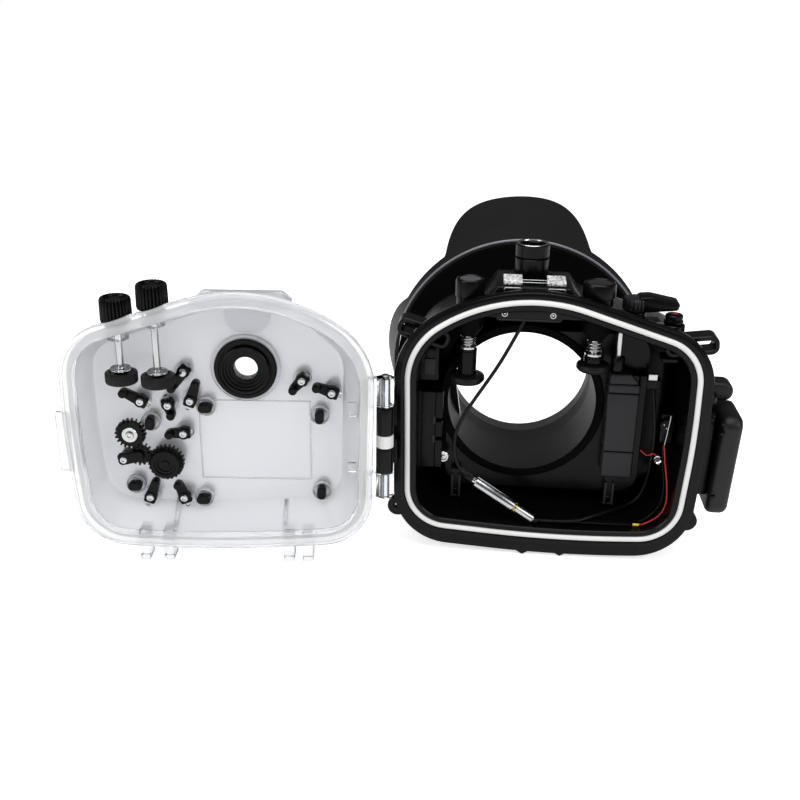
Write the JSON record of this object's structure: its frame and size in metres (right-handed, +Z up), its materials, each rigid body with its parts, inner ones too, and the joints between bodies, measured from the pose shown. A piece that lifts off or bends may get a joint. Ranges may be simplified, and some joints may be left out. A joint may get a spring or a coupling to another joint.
{
  "type": "underwater camera housing",
  "caption": "Black camera housing with a domed port and petal shade, its clear back cover swung open on the hinge.",
  "frame": {"origin": "centre of the flat pad under the front body", "axes": "+X to the right seen from behind, +Y towards the port, +Z up"},
  "size_m": [0.3846, 0.2066, 0.1825],
  "materials": {
    "black_metal": "satin black anodised coat",
    "black_plastic": "satin moulded",
    "clear_plastic": "clear moulded polycarbonate",
    "dome_clear": "polished clear acrylic",
    "white_seal": "smooth silicone",
    "black_rubber": "matt rubber",
    "grey_metal": "satin",
    "steel": "bright",
    "grey_window": "speckled",
    "red_wire": "insulated"
  },
  "bodies": {
    "housing": {"front_body": "black_metal", "seal_ring": "white_seal", "port_base": "black_metal", "port_front_ring": "grey_metal", "dome": "dome_clear", "petal_shade": "black_plastic", "hinge_pin": "steel", "hinge_washer": "white_seal", "cradle_plate": "black_plastic", "grip_tower": "black_plastic", "side_bracket": "black_plastic", "dial_left_spring": "steel", "dial_right_spring": "steel", "valve_body": "black_metal", "light_windows": "grey_window", "port_collar": "black_metal", "latch_base": "black_plastic", "cable_upper": "black_rubber", "connector": "steel", "cable_lower": "black_rubber", "leak_strip": "black_plastic", "sensor_wire": "red_wire", "sensor_module": "black_plastic"},
    "cover": {"back_cover": "clear_plastic", "eyepiece_ring": "black_plastic", "eyepiece_glass": "clear_plastic", "idler_arm": "black_plastic"},
    "latch": {"latch_lever": "black_rubber"},
    "valve_cap": {"valve_cap": "black_metal"},
    "shutter_paddle": {"shutter_paddle": "black_plastic"},
    "shutter_rod": {"shutter_rod": "steel"},
    "record_button": {"record_button": "black_plastic"},
    "dial_left_slider": {"dial_left_circlip": "steel"},
    "dial_left": {"dial_left_knob": "black_plastic", "dial_left_wheel": "black_rubber"},
    "dial_right_slider": {"dial_right_circlip": "steel"},
    "dial_right": {"dial_right_knob": "black_plastic", "dial_right_wheel": "black_rubber"},
    "knob_outer": {"cover_knob_outer": "black_plastic", "knob_wheel_outer": "black_rubber"},
    "knob_inner": {"cover_knob_inner": "black_plastic", "knob_wheel_inner": "black_rubber"},
    "lever_a": {"lever_a": "black_plastic"},
    "lever_b": {"lever_b": "black_plastic"},
    "lever_c": {"lever_c": "black_plastic"},
    "lever_d": {"lever_d": "black_plastic"},
    "lever_e": {"lever_e": "black_plastic"},
    "lever_g": {"lever_g": "black_plastic"},
    "lever_h": {"lever_h": "black_plastic"},
    "lever_i": {"lever_i": "black_plastic"},
    "lever_j": {"lever_j": "black_plastic"},
    "plunger_a": {"plunger_a": "black_plastic"},
    "plunger_b": {"plunger_b": "black_plastic"},
    "plunger_c": {"plunger_c": "black_plastic"},
    "plunger_d": {"plunger_d": "black_plastic"},
    "plunger_e": {"plunger_e": "black_plastic"},
    "plunger_f": {"plunger_f": "black_plastic"},
    "gear_two": {"gear_two": "black_plastic"},
    "idler_pinion": {"idler_pinion": "black_plastic"},
    "gear_one": {"gear_one": "black_plastic"}
  },
  "joints": [
    {"name": "cover_hinge", "type": "hinge", "parent": "housing", "child": "cover", "pos_m": [-0.0773, -0.05, 0.085], "axis": [0, 0, 1], "range_deg": [-4, 175.3]},
    {"name": "latch_swing", "type": "hinge", "parent": "housing", "child": "latch", "pos_m": [0.108, 0.001, 0.065], "axis": [0, 0, 1], "range_deg": [0, 70]},
    {"name": "valve_cap_turn", "type": "hinge", "parent": "housing", "child": "valve_cap", "pos_m": [0.001, -0.007, 0.178], "axis": [0, 0, 1], "continuous": true},
    {"name": "shutter_press", "type": "hinge", "parent": "housing", "child": "shutter_paddle", "pos_m": [0.06, -0.014, 0.155], "axis": [0, 0, 1], "range_deg": [0, 12], "stiffness_Nm_per_rad": 0.05, "springref_deg": -2.86},
    {"name": "shutter_rod_press", "type": "slide", "parent": "housing", "child": "shutter_rod", "axis": [0, 0, -1], "range_m": [0, 0.002], "stiffness_N_per_m": 300, "springref_m": -0.001},
    {"name": "record_press", "type": "slide", "parent": "housing", "child": "record_button", "axis": [0, 0, -1], "range_m": [0, 0.0015], "stiffness_N_per_m": 300, "springref_m": -0.001},
    {"name": "dial_left_pull", "type": "slide", "parent": "housing", "child": "dial_left_slider", "axis": [0, 0, 1], "range_m": [0, 0.0025], "stiffness_N_per_m": 300, "springref_m": -0.001, "deforming": ["dial_left_spring"]},
    {"name": "dial_left_turn", "type": "hinge", "parent": "dial_left_slider", "child": "dial_left", "pos_m": [-0.033, -0.022, 0.135], "axis": [0, 0, 1], "continuous": true},
    {"name": "dial_right_pull", "type": "slide", "parent": "housing", "child": "dial_right_slider", "axis": [0, 0, 1], "range_m": [0, 0.0025], "stiffness_N_per_m": 300, "springref_m": -0.001, "deforming": ["dial_right_spring"]},
    {"name": "dial_right_turn", "type": "hinge", "parent": "dial_right_slider", "child": "dial_right", "pos_m": [0.0385, -0.021, 0.135], "axis": [0, 0, 1], "continuous": true},
    {"name": "knob_outer_turn", "type": "hinge", "parent": "cover", "child": "knob_outer", "pos_m": [-0.22339, -0.06101, 0.13], "axis": [0, 0, 1], "continuous": true},
    {"name": "knob_inner_turn", "type": "hinge", "parent": "cover", "child": "knob_inner", "pos_m": [-0.20326, -0.05935, 0.13], "axis": [0, 0, 1], "continuous": true},
    {"name": "lever_a_press", "type": "slide", "parent": "cover", "child": "lever_a", "axis": [0.0819, -0.9966, 0], "range_m": [0, 0.0025], "stiffness_N_per_m": 200},
    {"name": "lever_b_press", "type": "slide", "parent": "cover", "child": "lever_b", "axis": [0.0819, -0.9966, 0], "range_m": [0, 0.0025], "stiffness_N_per_m": 200},
    {"name": "lever_c_press", "type": "slide", "parent": "cover", "child": "lever_c", "axis": [0.0819, -0.9966, 0], "range_m": [0, 0.0025], "stiffness_N_per_m": 200},
    {"name": "lever_d_press", "type": "slide", "parent": "cover", "child": "lever_d", "axis": [0.0819, -0.9966, 0], "range_m": [0, 0.0025], "stiffness_N_per_m": 200},
    {"name": "lever_e_press", "type": "slide", "parent": "cover", "child": "lever_e", "axis": [0.0819, -0.9966, 0], "range_m": [0, 0.0025], "stiffness_N_per_m": 200},
    {"name": "lever_g_press", "type": "slide", "parent": "cover", "child": "lever_g", "axis": [0.0819, -0.9966, 0], "range_m": [0, 0.0025], "stiffness_N_per_m": 200},
    {"name": "lever_h_press", "type": "slide", "parent": "cover", "child": "lever_h", "axis": [0.0819, -0.9966, 0], "range_m": [0, 0.0025], "stiffness_N_per_m": 200},
    {"name": "lever_i_press", "type": "slide", "parent": "cover", "child": "lever_i", "axis": [0.0819, -0.9966, 0], "range_m": [0, 0.0025], "stiffness_N_per_m": 200},
    {"name": "lever_j_press", "type": "slide", "parent": "cover", "child": "lever_j", "axis": [0.0819, -0.9966, 0], "range_m": [0, 0.0025], "stiffness_N_per_m": 200},
    {"name": "plunger_a_press", "type": "slide", "parent": "cover", "child": "plunger_a", "axis": [0.0819, -0.9966, 0], "range_m": [0, 0.0025], "stiffness_N_per_m": 200},
    {"name": "plunger_b_press", "type": "slide", "parent": "cover", "child": "plunger_b", "axis": [0.0819, -0.9966, 0], "range_m": [0, 0.0025], "stiffness_N_per_m": 200},
    {"name": "plunger_c_press", "type": "slide", "parent": "cover", "child": "plunger_c", "axis": [0.0819, -0.9966, 0], "range_m": [0, 0.0025], "stiffness_N_per_m": 200},
    {"name": "plunger_d_press", "type": "slide", "parent": "cover", "child": "plunger_d", "axis": [0.0819, -0.9966, 0], "range_m": [0, 0.0025], "stiffness_N_per_m": 200},
    {"name": "plunger_e_press", "type": "slide", "parent": "cover", "child": "plunger_e", "axis": [0.0819, -0.9966, 0], "range_m": [0, 0.0025], "stiffness_N_per_m": 200},
    {"name": "plunger_f_press", "type": "slide", "parent": "cover", "child": "plunger_f", "axis": [0.0819, -0.9966, 0], "range_m": [0, 0.0025], "stiffness_N_per_m": 200},
    {"name": "gear_two_turn", "type": "hinge", "parent": "cover", "child": "gear_two", "pos_m": [-0.20385, -0.05338, 0.0568], "axis": [0.0819, -0.9966, 0], "continuous": true},
    {"name": "idler_pinion_turn", "type": "hinge", "parent": "cover", "child": "idler_pinion", "pos_m": [-0.21832, -0.05457, 0.06168], "axis": [0.0819, -0.9966, 0], "continuous": true},
    {"name": "gear_one_turn", "type": "hinge", "parent": "cover", "child": "gear_one", "pos_m": [-0.22318, -0.05497, 0.0745], "axis": [0.0819, -0.9966, 0], "continuous": true}
  ],
  "couplings": [
    {"joint": "idler_pinion_turn", "follows": "gear_two_turn", "ratio": -1.7143},
    {"joint": "gear_one_turn", "follows": "gear_two_turn", "ratio": 1.2}
  ]
}
